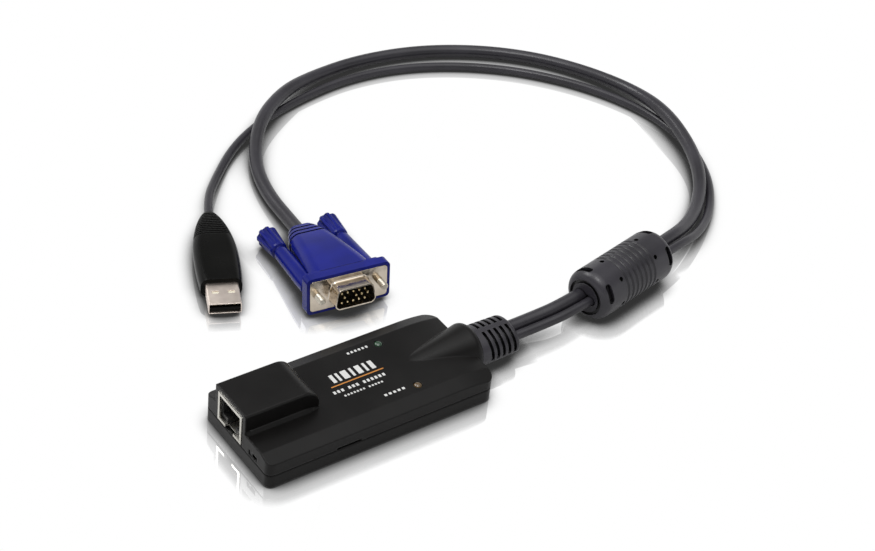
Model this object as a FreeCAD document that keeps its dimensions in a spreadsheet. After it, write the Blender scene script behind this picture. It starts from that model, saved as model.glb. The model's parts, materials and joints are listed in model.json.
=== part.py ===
import FreeCAD, Part
import Sketcher
import math
import os
from FreeCAD import Placement, Rotation, Vector

# Server-console adapter: a flat two-part housing with a network socket at its front end.
# Two cables leave the rear end through a strain relief, share one ferrite and end in a
# monitor plug and a USB plug. Millimetres; +Z up; the origin is under the middle of the
# housing, the socket faces -X and the cables leave towards +X.

doc = FreeCAD.newDocument("console_adapter")

SIZES = [
    ("case_long", 92.0, "housing, front face to rear face"),
    ("case_wide", 41.2, "housing, side to side"),
    ("parting", 5.5, "height of the seam between the two covers"),
    ("shoulder", 10.4, "height of the side walls"),
    ("crown", 12.2, "height of the flat top"),
    ("crown_wide", 31.0, "width of the flat top between the two slopes"),
    ("wall", 1.6, "wall of both covers"),
    ("corner_round", 2.6, "front corners of the housing in plan"),
    ("rear_round", 3.8, "rear corners of the housing in plan"),
    ("foot_bevel", 0.5, "bevel round the underside"),
    ("seam_bevel", 0.35, "bevel on both sides of the seam"),
    ("notch_long", 9.6, "notch in the seam, front to rear"),
    ("notch_tall", 1.1, "notch in the seam, height"),
    ("notch_deep", 0.8, "notch in the seam, depth"),
    ("notch_place", 31.5, "middle of the notch from the front face"),
    ("roof_fall", 14.0, "length over which the roof falls towards the rear"),
    ("roof_round", 66.0, "radius of the falling roof"),
    ("hump_wide", 19.2, "raised housing over the socket, side to side"),
    ("hump_shift", 4.3, "middle of the socket from the middle of the housing"),
    ("hump_top", 20.2, "height of the raised housing"),
    ("hump_long", 29.0, "raised housing, front to rear"),
    ("hump_round", 6.5, "radius at the rear of the raised housing"),
    ("hump_edge", 0.7, "radius along the raised housing"),
    ("fit", 0.1, "clearance round pieces that seat in the covers"),
    ("board_under", 5.1, "height of the underside of the circuit board"),
    ("board_thick", 1.2, "circuit board"),
    ("board_gap", 0.5, "board to the walls"),
    ("board_long", 76.0, "circuit board, front to rear"),
    ("jack_wide", 15.2, "network socket, side to side"),
    ("jack_tall", 12.0, "network socket, height"),
    ("jack_long", 18.0, "network socket, depth"),
    ("jack_proud", 0.25, "socket in front of the housing"),
    ("jack_rim", 1.1, "metal rim round the socket"),
    ("jack_metal", 0.5, "sheet of the socket's shield"),
    ("jack_mouth", 11.8, "width of the opening in the insert"),
    ("jack_clear", 7.2, "height of the opening in the insert"),
    ("jack_deep", 13.0, "depth of the opening in the insert"),
    ("latch_wide", 5.2, "slot for the plug's latch"),
    ("latch_deep", 2.6, "depth of the latch slot below the opening"),
    ("contact_pitch", 1.02, "socket contacts, side to side"),
    ("contact_thick", 0.35, "socket contact wire"),
    ("led_round", 1.5, "radius of the lamps"),
    ("led_proud", 0.5, "lamp above the flat top"),
    ("led_place", 27.7, "lamps from the rear face"),
    ("led_side", 12.3, "lamps from the middle to each side"),
    ("slot_wide", 5.2, "opening for the slide switch, side to side"),
    ("slot_tall", 2.0, "opening for the slide switch, height"),
    ("slot_side", 10.7, "middle of the switch opening from the middle"),
    ("knob_wide", 1.7, "slide switch knob, side to side"),
    ("knob_play", 0.3, "knob to the edges of its opening"),
    ("knob_sunk", 0.3, "knob behind the front face"),
    ("screw_place", 8.0, "cover screws from the rear face"),
    ("screw_side", 14.0, "cover screws from the middle to each side"),
    ("screw_round", 1.1, "radius of the cover screws"),
    ("screw_head", 2.1, "radius of the screw heads"),
    ("head_deep", 1.5, "thickness of the screw heads"),
    ("pillar_round", 3.2, "radius of the screw pillars"),
    ("cone_long", 26.0, "cable fairing on the roof, start to rear face"),
    ("cone_wide", 20.8, "cable fairing at its end, side to side"),
    ("cone_rise", 10.2, "cable fairing at its end, above the cable line"),
    ("cone_past", 4.0, "cable fairing past the rear face"),
    ("boot_line", 6.8, "height of the cable line at the housing"),
    ("boot_wide", 18.0, "strain relief, side to side"),
    ("boot_tall", 13.2, "strain relief, height"),
    ("boot_long", 20.3, "strain relief past the rear face"),
    ("boot_in", 5.0, "strain relief inside the housing"),
    ("boot_neck", 0.9, "strain relief's part in the housing, smaller all round"),
    ("boot_rings", 5, "rings of slots in the strain relief"),
    ("ring_pitch", 2.5, "slot ring to slot ring"),
    ("slot_cut", 1.25, "width of each slot"),
    ("vga_cord", 5.4, "diameter of the monitor cable"),
    ("usb_cord", 3.5, "diameter of the USB cable"),
    ("cord_gap", 0.3, "between the two cables where they run side by side"),
    ("cord_seat", 8.0, "depth to which a cable enters a moulding"),
    ("choke_round", 10.0, "radius of the ferrite's moulding"),
    ("choke_long", 42.5, "ferrite's moulding, end to end"),
    ("choke_end", 4.0, "radius of its rounded ends"),
    ("choke_grooves", 7, "grooves round its middle"),
    ("groove_pitch", 2.6, "groove to groove"),
    ("core_round", 7.6, "radius of the ferrite core"),
    ("core_long", 29.0, "ferrite core, end to end"),
    ("core_bore", 5.0, "radius of the core's bore"),
    ("usb_wide", 12.0, "USB shell, side to side"),
    ("usb_tall", 4.5, "USB shell, height"),
    ("usb_out", 11.8, "USB shell in front of its grip"),
    ("usb_hold", 5.0, "USB shell inside its grip"),
    ("usb_metal", 0.35, "sheet of the USB shell"),
    ("window_side", 2.9, "middle of a window in the USB shell from its axis"),
    ("window_wide", 2.5, "window in the USB shell, side to side"),
    ("window_long", 1.5, "window in the USB shell, front to rear"),
    ("usb_tongue", 1.85, "thickness of the tongue in the USB shell"),
    ("usb_grip", 43.2, "USB grip, front to rear"),
    ("usb_grip_wide", 16.8, "USB grip at its widest"),
    ("usb_grip_tall", 8.7, "USB grip at its thickest"),
    ("grip_ribs", 12, "fine ribs on the USB grip"),
    ("rib_pitch", 1.25, "rib to rib"),
    ("plate_wide", 30.8, "monitor plug, metal face"),
    ("plate_tall", 12.5, "monitor plug, metal face, height"),
    ("plate_thick", 0.8, "monitor plug, metal face, thickness"),
    ("plate_proud", 0.2, "metal face in front of the flange"),
    ("plate_corner", 1.3, "corners of the metal face"),
    ("flange_rim", 1.25, "blue rim round the metal face"),
    ("flange_thick", 4.0, "blue flange"),
    ("step_thick", 2.6, "smaller step behind the flange"),
    ("step_rim", 1.4, "how far the step stands back"),
    ("dee_wide", 16.9, "D-shaped shell at its wide side"),
    ("dee_tall", 8.4, "D-shaped shell, height"),
    ("dee_out", 5.9, "D-shaped shell in front of the face"),
    ("dee_metal", 0.5, "sheet of the D-shaped shell"),
    ("dee_slope", 10.0, "slope of its sides, degrees"),
    ("dee_round", 2.2, "corner radius of the D-shaped shell"),
    ("pin_round", 0.4, "radius of the pins"),
    ("pin_pitch", 2.29, "pins, side to side"),
    ("row_pitch", 1.98, "rows of pins"),
    ("pin_out", 5.1, "pins in front of the face"),
    ("pin_in", 3.0, "pins inside the insulator"),
    ("block_long", 4.5, "insulator behind the face"),
    ("hood_long", 42.0, "monitor plug, face to cable"),
    ("hood_wide", 25.0, "monitor plug's hood behind the flange, side to side"),
    ("hood_tall", 12.4, "monitor plug's hood behind the flange, height"),
    ("hood_ribs", 3, "grooves round the hood's neck"),
    ("hood_pitch", 2.6, "groove to groove on the hood's neck"),
    ("thumb_side", 12.5, "thumbscrews from the plug's middle"),
    ("thumb_round", 1.42, "radius of the thumbscrews' tips"),
    ("thumb_neck", 1.15, "radius of the steel behind the tips"),
    ("thumb_gap", 0.2, "end play of the thumbscrews"),
    ("thumb_hold", 14.0, "steel inside the grips"),
    ("thumb_run", 0.06, "running clearance round the steel"),
    ("thumb_out", 4.6, "steel in front of the face"),
    ("thumb_barrel", 3.4, "radius of the grips at the flange"),
    ("thumb_waist", 2.4, "radius of the grips at their waist"),
    ("thumb_grip", 4.3, "radius of the grips at their fluted ends"),
    ("thumb_long", 39.2, "thumbscrew grips, front to rear"),
    ("channel", 0.5, "hood to the thumbscrew grips"),
    ("flute_long", 13.0, "fluted part of the grips"),
    ("flutes", 8, "flutes round each grip"),
]

sheet = doc.addObject("Spreadsheet::Sheet", "dims")
for row, (alias, value, note) in enumerate(SIZES, start=1):
    sheet.set(f"A{row}", note)
    sheet.set(f"B{row}", str(value))
    sheet.setAlias(f"B{row}", alias)
doc.recompute()


def size(alias):
    return float(sheet.get(alias))


# ---------------------------------------------------------------- binding and small helpers


def bind(obj, prop, formula):
    """Bind a property to the sheet; formula names sheet aliases in braces."""
    obj.setExpression(prop, formula.replace("{", "dims.").replace("}", ""))


def number(formula):
    return float(sheet.evalExpression(formula.replace("{", "dims.").replace("}", "")))


def seat(obj, base):
    for axis, formula in zip("xyz", base):
        bind(obj, "Placement.Base." + axis, formula)
    return obj


def box(name, base, lengths):
    """A block: its lowest corner and its lengths along X, Y and Z."""
    block = doc.addObject("Part::Box", name)
    for prop, formula in zip(("Length", "Width", "Height"), lengths):
        bind(block, prop, formula)
    return seat(block, base)


LYING = Rotation(Vector(0, 0, 1), Vector(1, 0, 0))


def rod(name, base, radius, length, turn=Rotation()):
    """A cylinder standing up, or lying along +X when turned by LYING."""
    bar = doc.addObject("Part::Cylinder", name)
    bar.Placement = Placement(Vector(), turn)
    bind(bar, "Radius", radius)
    bind(bar, "Height", length)
    return seat(bar, base)


def join(name, pieces):
    whole = doc.addObject("Part::MultiFuse", name)
    whole.Shapes = pieces
    return whole


def cut(name, base, tool):
    rest = doc.addObject("Part::Cut", name)
    rest.Base = base
    rest.Tool = tool
    return rest


def group(name, pieces):
    """Several separate solids in one sub-part."""
    several = doc.addObject("Part::Compound", name)
    several.Links = pieces
    return several


parts = []


def keep(obj, label, frame=None):
    """Name a finished sub-part and put it where it belongs."""
    obj.Label = label
    if frame is not None:
        obj.Placement = frame
    parts.append(obj)
    return obj


def shaped(label, shape, frame=None):
    """A sub-part whose form is made with Part's own functions from the sheet's sizes."""
    feature = doc.addObject("Part::Feature", label)
    feature.Shape = shape
    return keep(feature, label, frame)


def new_body(label):
    return doc.addObject("PartDesign::Body", label)


def new_sketch(body, role, name, lift="0"):
    plane = next(one for one in body.Origin.OriginFeatures if one.Role == role)
    sketch = body.newObject("Sketcher::SketchObject", name)
    sketch.AttachmentSupport = (plane, [""])
    sketch.MapMode = "FlatFace"
    bind(sketch, "AttachmentOffset.Base.z", lift)
    return sketch


def pin_point(sketch, index, end, formulas):
    """Hold one point of a sketch at a place given by two formulas."""
    for kind, formula in zip(("DistanceX", "DistanceY"), formulas):
        value = number(formula)
        at = sketch.addConstraint(Sketcher.Constraint(kind, -1, 1, index, end, value))
        bind(sketch, f"Constraints[{at}]", formula)


def outline(sketch, corners):
    """A closed outline of straight lines, every corner held by the sheet."""
    spots = [Vector(number(x), number(y), 0) for x, y in corners]
    first = sketch.GeometryCount
    count = len(corners)
    for i in range(count):
        sketch.addGeometry(Part.LineSegment(spots[i], spots[(i + 1) % count]))
    for i in range(count):
        sketch.addConstraint(Sketcher.Constraint("Coincident", first + i, 2, first + (i + 1) % count, 1))
        pin_point(sketch, first + i, 1, corners[i])


def circle(sketch, centre, radius):
    spot = Vector(number(centre[0]), number(centre[1]), 0)
    at = sketch.addGeometry(Part.Circle(spot, Vector(0, 0, 1), number(radius)))
    pin_point(sketch, at, 3, centre)
    held = sketch.addConstraint(Sketcher.Constraint("Radius", at, number(radius)))
    bind(sketch, f"Constraints[{held}]", radius)


def rectangle(sketch, low, high):
    (x0, y0), (x1, y1) = low, high
    outline(sketch, [(x0, y0), (x1, y0), (x1, y1), (x0, y1)])


def pad(body, sketch, length, reverse=False):
    feature = body.newObject("PartDesign::Pad", sketch.Name + "_pad")
    feature.Profile = sketch
    feature.Reversed = reverse
    bind(feature, "Length", length)
    return feature


def pocket(body, sketch, length, reverse=False):
    doc.recompute()
    before = body.Shape.Volume
    feature = body.newObject("PartDesign::Pocket", sketch.Name + "_cut")
    feature.Profile = sketch
    feature.Reversed = reverse
    bind(feature, "Length", length)
    doc.recompute()
    if not body.Shape.Volume < before:
        raise RuntimeError(feature.Name + " cuts nothing")
    return feature


def turned(body, sketch, axis):
    feature = body.newObject("PartDesign::Revolution", sketch.Name + "_turn")
    feature.Profile = sketch
    feature.ReferenceAxis = (sketch, [axis])
    feature.Angle = 360
    return feature


def dressed(body, kind, base, picks, prop, formula):
    """Fillet or chamfer the edges of base that picks chooses."""
    doc.recompute()
    names = [f"Edge{i}" for i, edge in enumerate(base.Shape.Edges, start=1) if picks(edge)]
    feature = body.newObject("PartDesign::" + kind, base.Name + "_" + kind.lower())
    feature.Base = (base, names)
    bind(feature, prop, formula)
    return feature


def along(edge, axis):
    """True for a straight edge that runs along one axis."""
    if edge.Curve.TypeId != "Part::GeomLine":
        return False
    return abs(edge.Curve.Direction.dot(axis)) > 0.999


UP = Vector(0, 0, 1)
ALONG = Vector(1, 0, 0)
ACROSS = Vector(0, 1, 0)

# ---------------------------------------------------------------- housing

REAR = size("case_long") / 2
SIDE = size("case_wide") / 2


def polygon_face(points):
    return Part.Face(Part.makePolygon(points + points[:1]))


def rounded_block(length, width, low, high, front_radius, rear_radius):
    """A block centred on the vertical axis, its upright corners rounded."""
    block = Part.makeBox(length, width, high - low, Vector(-length / 2, -width / 2, low))
    front = [edge for edge in block.Edges if along(edge, UP) and edge.CenterOfMass.x < 0]
    block = block.makeFillet(front_radius, front)
    rear = [edge for edge in block.Edges if along(edge, UP) and edge.CenterOfMass.x > length / 2 - 0.01]
    return block.makeFillet(rear_radius, rear)


def oval(x, middle, half_wide, half_tall):
    """An upright ellipse across the cable line, as a wire."""
    if half_wide >= half_tall:
        curve = Part.Ellipse(Vector(), half_wide, half_tall)
        turn = Rotation(Vector(0, 1, 0), Vector(0, 0, 1), Vector(1, 0, 0), "ZXY")
    else:
        curve = Part.Ellipse(Vector(), half_tall, half_wide)
        turn = Rotation(Vector(0, 0, 1), Vector(0, -1, 0), Vector(1, 0, 0), "ZXY")
    edge = curve.toShape()
    edge.Placement = Placement(Vector(x, 0, middle), turn)
    return Part.Wire([edge])


def oval_bar(x, length, middle, half_wide, half_tall):
    return Part.Face(oval(x, middle, half_wide, half_tall)).extrude(Vector(length, 0, 0))


def roofed(inset, low):
    """The upper cover's form: two slopes along its sides and a roof that falls at the rear."""
    half = SIDE - inset
    shoulder = size("shoulder") - inset * 0.8
    crown = size("crown") - inset
    ridge = size("crown_wide") / 2 - inset * 0.4
    front = -REAR + inset
    knee = REAR - size("roof_fall")
    section = [(-half, low), (half, low), (half, shoulder), (ridge, crown), (-ridge, crown), (-half, shoulder)]
    flat = polygon_face([Vector(front, y, z) for y, z in section])
    body = flat.extrude(Vector(knee - front, 0, 0))
    bend = polygon_face([Vector(knee, y, z) for y, z in section])
    centre = Vector(knee, 0, size("crown") - size("roof_round"))
    fall = bend.revolve(centre, ACROSS, 60)
    room = Part.makeBox(REAR - inset - knee, 2 * half, crown, Vector(knee, -half, low))
    form = body.fuse(fall.common(room)).removeSplitter()
    plan = rounded_block(2 * (REAR - inset), 2 * half, low, crown + 1, size("corner_round") - inset,
                         size("rear_round") - inset)
    return form.common(plan)


def hump(inset, low):
    """The raised housing over the socket, rounded down at its rear."""
    half = size("hump_wide") / 2 - inset
    top = size("hump_top") - inset
    start = -REAR + inset
    long = size("hump_long") - 2 * inset
    block = Part.makeBox(long, 2 * half, top - low, Vector(start, size("hump_shift") - half, low))
    rear_top = [edge for edge in block.Edges if along(edge, ACROSS) and edge.BoundBox.XMin > 0 + start + 1
                and edge.BoundBox.ZMin > low + 1]
    block = block.makeFillet(size("hump_round") - inset, rear_top)
    if inset == 0:
        upper = [edge for edge in block.Edges if edge.BoundBox.ZMax > top - 0.01
                 and edge.BoundBox.YLength < 0.01 and edge.BoundBox.XLength > 1]
        block = block.makeFillet(size("hump_edge"), upper)
    return block


def fairing():
    """The half cone that rises out of the roof round the cable line."""
    start = REAR - size("cone_long")
    end = REAR + size("cone_past")
    line = size("boot_line")
    tip = oval(start, size("crown") - 2.5, 3.0, 2.0)
    mouth = oval(end, line, size("cone_wide") / 2, size("cone_rise"))
    cone = Part.makeLoft([tip, mouth], True, False)
    rim = [edge for edge in cone.Edges if edge.BoundBox.XMin > end - 0.01]
    cone = cone.makeFillet(2.6, rim)
    room = Part.makeBox(end, 2 * SIDE, size("hump_top"), Vector(start, -SIDE, size("parting")))
    return cone.common(room)


def screw_spots():
    return [Vector(REAR - size("screw_place"), side * size("screw_side"), 0) for side in (1, -1)]


BOOT_HALF_WIDE = size("boot_wide") / 2
BOOT_HALF_TALL = size("boot_tall") / 2
NECK_HALF_WIDE = BOOT_HALF_WIDE - size("boot_neck")
NECK_HALF_TALL = BOOT_HALF_TALL - size("boot_neck")


def boot_hole():
    """Room for the strain relief: its neck in the rear wall, its full size under the fairing."""
    clear = size("fit")
    line = size("boot_line")
    start = REAR - size("boot_in") - clear
    neck = oval_bar(start, size("boot_in") + 2 * clear, line, NECK_HALF_WIDE + clear, NECK_HALF_TALL + clear)
    full = oval_bar(REAR, size("cone_past") + 3, line, BOOT_HALF_WIDE + clear, BOOT_HALF_TALL + clear)
    return neck.fuse(full)


def seam_notch():
    """The notch in which a blade parts the two covers."""
    start = -REAR + size("notch_place") - size("notch_long") / 2
    return Part.makeBox(size("notch_long"), size("notch_deep") + 1, size("notch_tall") + 1,
                        Vector(start, -SIDE - 1, size("parting") - 1))


def seam(shape):
    """Bevel the outer edges that lie on the seam."""
    level = size("parting")
    rim = []
    for edge in shape.Edges:
        bounds = edge.BoundBox
        if abs(bounds.ZMin - level) > 0.01 or abs(bounds.ZMax - level) > 0.01:
            continue
        middle = edge.CenterOfMass
        on_side = abs(abs(middle.y) - SIDE) < 0.01
        on_end = abs(abs(middle.x) - REAR) < 0.01
        on_corner = edge.Curve.TypeId == "Part::GeomCircle" and edge.Curve.Radius > size("corner_round") - 0.01
        if on_side or on_end or on_corner:
            rim.append(edge)
    return shape.makeChamfer(size("seam_bevel"), rim)


def jack_block(grow, low):
    """The space that the network socket takes, grown by a clearance."""
    half = size("jack_wide") / 2 + grow
    bottom = size("board_under") + size("board_thick")
    start = -REAR - size("jack_proud")
    top = bottom + size("jack_tall") + grow
    return Part.makeBox(size("jack_long") + size("jack_proud") + grow, 2 * half, top - low,
                        Vector(start - grow, size("hump_shift") - half, low))


def switch_slot():
    tall = size("slot_tall")
    wide = size("slot_wide")
    low = size("parting") + 0.9
    return Part.makeBox(4, wide, tall, Vector(-REAR - 1, -size("slot_side") - wide / 2, low))


def upper_cover():
    parting = size("parting")
    wall = size("wall")
    shell = seam(roofed(0, parting))
    shell = shell.fuse([hump(0, parting + 1), fairing()])
    hollow = roofed(wall, parting - 1).fuse(hump(wall, parting - 1))
    shell = shell.cut(hollow)
    for spot in screw_spots():
        boss = Part.makeCylinder(size("pillar_round") - 0.6, size("crown") - parting, spot + UP * parting)
        boss = boss.common(roofed(wall / 2, parting))
        bore = Part.makeCylinder(size("screw_round") + size("fit"), 4.6, spot + UP * (parting - 0.1))
        shell = shell.fuse(boss).cut(bore)
    tools = [jack_block(size("fit"), parting - 1), switch_slot(), boot_hole(), seam_notch()]
    for side in (1, -1):
        spot = Vector(REAR - size("led_place"), side * size("led_side"), parting)
        tools.append(Part.makeCylinder(size("led_round") + size("fit"), size("crown"), spot))
    return shell.cut(tools).removeSplitter()


shaped("top_cover", upper_cover())


SCREW_X = "{case_long} / 2 - {screw_place}"


def lower_cover():
    """A tray with the board's posts and the screw pillars moulded in."""
    tray = new_body("bottom_cover")
    half_long = "{case_long} / 2"
    half_wide = "{case_wide} / 2"
    plan = new_sketch(tray, "XY_Plane", "tray_plan")
    rectangle(plan, ("-" + half_long, "-" + half_wide), (half_long, half_wide))
    block = pad(tray, plan, "{parting}")
    front = dressed(tray, "Fillet", block, lambda edge: along(edge, UP) and edge.CenterOfMass.x < 0,
                    "Radius", "{corner_round}")
    corners = dressed(tray, "Fillet", front, lambda edge: along(edge, UP) and edge.CenterOfMass.x > REAR - 0.01,
                      "Radius", "{rear_round}")
    under = dressed(tray, "Chamfer", corners, lambda edge: edge.BoundBox.ZMax < 0.01, "Size", "{foot_bevel}")
    level = size("parting")
    upper = dressed(tray, "Chamfer", under, lambda edge: edge.BoundBox.ZMin > level - 0.01, "Size", "{seam_bevel}")
    inner = new_sketch(tray, "XY_Plane", "tray_room", "{parting}")
    inner_x = "({case_long} / 2 - {wall})"
    inner_y = "({case_wide} / 2 - {wall})"
    slant = " - {rear_round} * 0.6"
    outline(inner, [("-" + inner_x, "-" + inner_y), (inner_x + slant, "-" + inner_y),
                    (inner_x, "-(" + inner_y + slant + ")"), (inner_x, inner_y + slant),
                    (inner_x + slant, inner_y), ("-" + inner_x, inner_y)])
    pocket(tray, inner, "{parting} - {wall}")

    posts = new_sketch(tray, "XY_Plane", "tray_posts", "{wall}")
    for x in ("-{case_long} / 2 + 6", "-{case_long} / 2 + {board_long} - 4"):
        for y in ("-{case_wide} / 2 + 5", "{case_wide} / 2 - 5"):
            circle(posts, (x, y), "{pillar_round} / 2")
    pad(tray, posts, "{board_under} - {wall}")

    pillars = new_sketch(tray, "XY_Plane", "tray_pillars", "{wall}")
    for side in ("", "-"):
        circle(pillars, (SCREW_X, side + "{screw_side}"), "{pillar_round}")
    pad(tray, pillars, "{parting} - {wall}")
    heads = new_sketch(tray, "XY_Plane", "head_seats")
    shanks = new_sketch(tray, "XY_Plane", "shank_holes")
    for side in ("", "-"):
        circle(heads, (SCREW_X, side + "{screw_side}"), "{screw_head} + {fit}")
        circle(shanks, (SCREW_X, side + "{screw_side}"), "{screw_round} + {fit}")
    pocket(tray, heads, "{head_deep} + {foot_bevel}", reverse=True)
    pocket(tray, shanks, "{parting} + 1", reverse=True)

    mouth = new_sketch(tray, "YZ_Plane", "cable_mouth", "{case_long} / 2 + 1")
    ellipse = Part.Ellipse(Vector(0, size("boot_line"), 0), NECK_HALF_WIDE + size("fit"),
                           NECK_HALF_TALL + size("fit"))
    mouth.addGeometry(ellipse)
    pocket(tray, mouth, "{boot_in} + {fit} + 1")
    return tray


keep(lower_cover(), "bottom_cover")


def cover_screw(side):
    """A pan head and a plain shank, standing head down."""
    screw = new_body("cover_screw")
    profile = new_sketch(screw, "XZ_Plane", "screw_profile")
    outline(profile, [("0", "0"), ("{screw_head}", "0"), ("{screw_head}", "{head_deep}"),
                      ("{screw_round}", "{head_deep}"), ("{screw_round}", "{parting} + 3.6"),
                      ("0", "{parting} + 3.6")])
    turned(screw, profile, "V_Axis")
    cross = new_sketch(screw, "XY_Plane", "screw_cross")
    rectangle(cross, ("-{screw_head} * 0.6", "-0.25"), ("{screw_head} * 0.6", "0.25"))
    pocket(screw, cross, "{head_deep} * 0.5", reverse=True)
    bind(screw, "Placement.Base.x", SCREW_X)
    bind(screw, "Placement.Base.y", side + "{screw_side}")
    bind(screw, "Placement.Base.z", "{foot_bevel}")
    return screw


keep(group("screws", [cover_screw(""), cover_screw("-")]), "cover_screws")

# ---------------------------------------------------------------- circuit board and what stands on it

BOARD_TOP = "{board_under} + {board_thick}"
BOARD_FRONT = "-{case_long} / 2 + {wall} + {board_gap}"
BOARD_HALF = "({case_wide} / 2 - {wall} - {board_gap})"


def circuit_board():
    board = new_body("circuit_board")
    plan = new_sketch(board, "XY_Plane", "board_plan", "{board_under}")
    rear = "-{case_long} / 2 + {board_long}"
    rectangle(plan, (BOARD_FRONT, "-" + BOARD_HALF), (rear, BOARD_HALF))
    slab = pad(board, plan, "{board_thick}")
    dressed(board, "Fillet", slab, lambda edge: along(edge, UP), "Radius", "{board_gap} * 2")
    return board


keep(circuit_board(), "circuit_board")


def chip(name, base, lengths, leads, pitch):
    """A moulded package with a row of leads down each long side."""
    x, y = base
    length, width, height = lengths
    case = box(name + "_case", (x, y, BOARD_TOP + " + 0.15"), (length, width, height))
    pieces = [case]
    for n in range(leads):
        lead_x = f"{x} + ({length}) / 2 + ({n} - ({leads} - 1) / 2) * {pitch} - 0.15"
        for lead_y in (f"{y} - 1", f"{y} + {width} - 0.1"):
            pieces.append(box(f"{name}_lead", (lead_x, lead_y, BOARD_TOP), ("0.3", "1.1", "0.5")))
    return join(name, pieces)


MAIN_CHIP_AT = (BOARD_FRONT + " + 33.9", "-7")
VIDEO_CHIP_AT = (BOARD_FRONT + " + 7.9", "-" + BOARD_HALF + " + 1.5")
keep(chip("main_chip_form", MAIN_CHIP_AT, ("14", "14", "1.6"), 12, 1.0), "main_chip")
keep(chip("video_chip_form", VIDEO_CHIP_AT, ("10", "5", "1.5"), 7, 1.27), "video_chip")


def crystal():
    can = box("crystal_can", (BOARD_FRONT + " + 55.9", "-5", BOARD_TOP), ("4.5", "10", "3.2"))
    return can


keep(crystal(), "crystal")


LED_X = "{case_long} / 2 - {led_place}"


def lamp(label, side):
    """A round lamp with a collar, a domed end through the roof and two legs to the board."""
    body = new_body(label)
    profile = new_sketch(body, "XZ_Plane", label + "_profile")
    top = "{crown} + {led_proud}"
    collar = "{crown} - {wall} - {fit}"
    foot = BOARD_TOP + " + 1.4"
    outline(profile, [("0", foot), ("{led_round} + 0.4", foot), ("{led_round} + 0.4", collar + " - 1.2"),
                      ("{led_round}", collar + " - 1.2"), ("{led_round}", top + " - 0.6"),
                      ("{led_round} * 0.72", top + " - 0.15"), ("0", top)])
    turned(body, profile, "V_Axis")
    bind(body, "Placement.Base.x", LED_X)
    bind(body, "Placement.Base.y", side + "{led_side}")
    return body


keep(lamp("online_led", ""), "online_led")
keep(lamp("power_led", "-"), "power_led")


def lamp_legs():
    legs = []
    for side in ("", "-"):
        for step in (-1, 1):
            base = (f"{LED_X} + {step} * 1.27 / 2 - 0.2", side + "{led_side} - 0.2", BOARD_TOP)
            legs.append(box("lamp_leg", base, ("0.4", "0.4", "1.4")))
    return group("lamp_legs", legs)


keep(lamp_legs(), "led_legs")

# ---------------------------------------------------------------- network socket

JACK_FRONT = "-{case_long} / 2 - {jack_proud}"
JACK_LOW = "{board_under} + {board_thick}"
JACK_LEFT = "{hump_shift} - {jack_wide} / 2"


def jack_shield():
    """The folded metal shell: an open box behind a rim, slotted at the bottom for the latch."""
    outer = box("shield_outer", (JACK_FRONT, JACK_LEFT, JACK_LOW),
                ("{jack_long} + {jack_proud}", "{jack_wide}", "{jack_tall}"))
    room = box("shield_room", (JACK_FRONT + " + {jack_metal}", JACK_LEFT + " + {jack_metal}",
                               JACK_LOW + " + {jack_metal}"),
               ("{jack_long} + {jack_proud}", "{jack_wide} - 2 * {jack_metal}",
                "{jack_tall} - 2 * {jack_metal}"))
    mouth = box("shield_mouth", (JACK_FRONT + " - 1", JACK_LEFT + " + {jack_rim}", JACK_LOW + " + {jack_rim}"),
                ("{jack_metal} + 2", "{jack_wide} - 2 * {jack_rim}", "{jack_tall} - 2 * {jack_rim}"))
    latch = box("shield_latch", (JACK_FRONT + " - 1", "{hump_shift} - {latch_wide} / 2", JACK_LOW + " - 1"),
                ("{jack_metal} + 2", "{latch_wide}", "{jack_rim} + 2"))
    return cut("jack_shield", outer, join("shield_cuts", [room, mouth, latch]))


keep(jack_shield(), "jack_shield")

INSERT_FRONT = JACK_FRONT + " + {jack_metal} + 0.6"
MOUTH_LOW = JACK_LOW + " + {jack_metal} + {latch_deep}"


def jack_insert():
    """The moulded block in the shield, hollow for the plug and its latch."""
    inset = "{jack_metal} + 0.05"
    block = box("insert_block", (INSERT_FRONT, f"{JACK_LEFT} + {inset}", f"{JACK_LOW} + {inset}"),
                ("{jack_long} - 2", f"{{jack_wide}} - 2 * ({inset})", f"{{jack_tall}} - 2 * ({inset})"))
    mouth = box("insert_mouth", (INSERT_FRONT + " - 1", "{hump_shift} - {jack_mouth} / 2", MOUTH_LOW),
                ("{jack_deep} + 1", "{jack_mouth}", "{jack_clear}"))
    latch = box("insert_latch", (INSERT_FRONT + " - 1", "{hump_shift} - {latch_wide} / 2",
                                 MOUTH_LOW + " - {latch_deep}"),
                ("{jack_deep} * 0.7 + 1", "{latch_wide}", "{latch_deep} + 1"))
    return cut("jack_insert", block, join("insert_cuts", [mouth, latch]))


keep(jack_insert(), "jack_insert")


def jack_contacts():
    """Eight sprung wires that slope down from the roof of the opening."""
    wires = []
    drop = 2.6
    reach = 6.0
    thick = size("contact_thick")
    roof = number(MOUTH_LOW + " + {jack_clear}")
    start = number(INSERT_FRONT) + 2.5
    for n in range(8):
        y = size("hump_shift") + (n - 3.5) * size("contact_pitch") - thick / 2
        side = [(start, roof), (start + thick, roof), (start + reach + thick, roof - drop),
                (start + reach, roof - drop - thick / 2)]
        face = polygon_face([Vector(x, y, z) for x, z in side])
        wires.append(face.extrude(Vector(0, thick, 0)))
    return Part.makeCompound(wires)


shaped("jack_contacts", jack_contacts())

# ---------------------------------------------------------------- slide switch behind the front wall

SLOT_LOW = "{parting} + 0.9"
SWITCH_FRONT = "-{case_long} / 2 + {wall} + 0.1"


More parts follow.
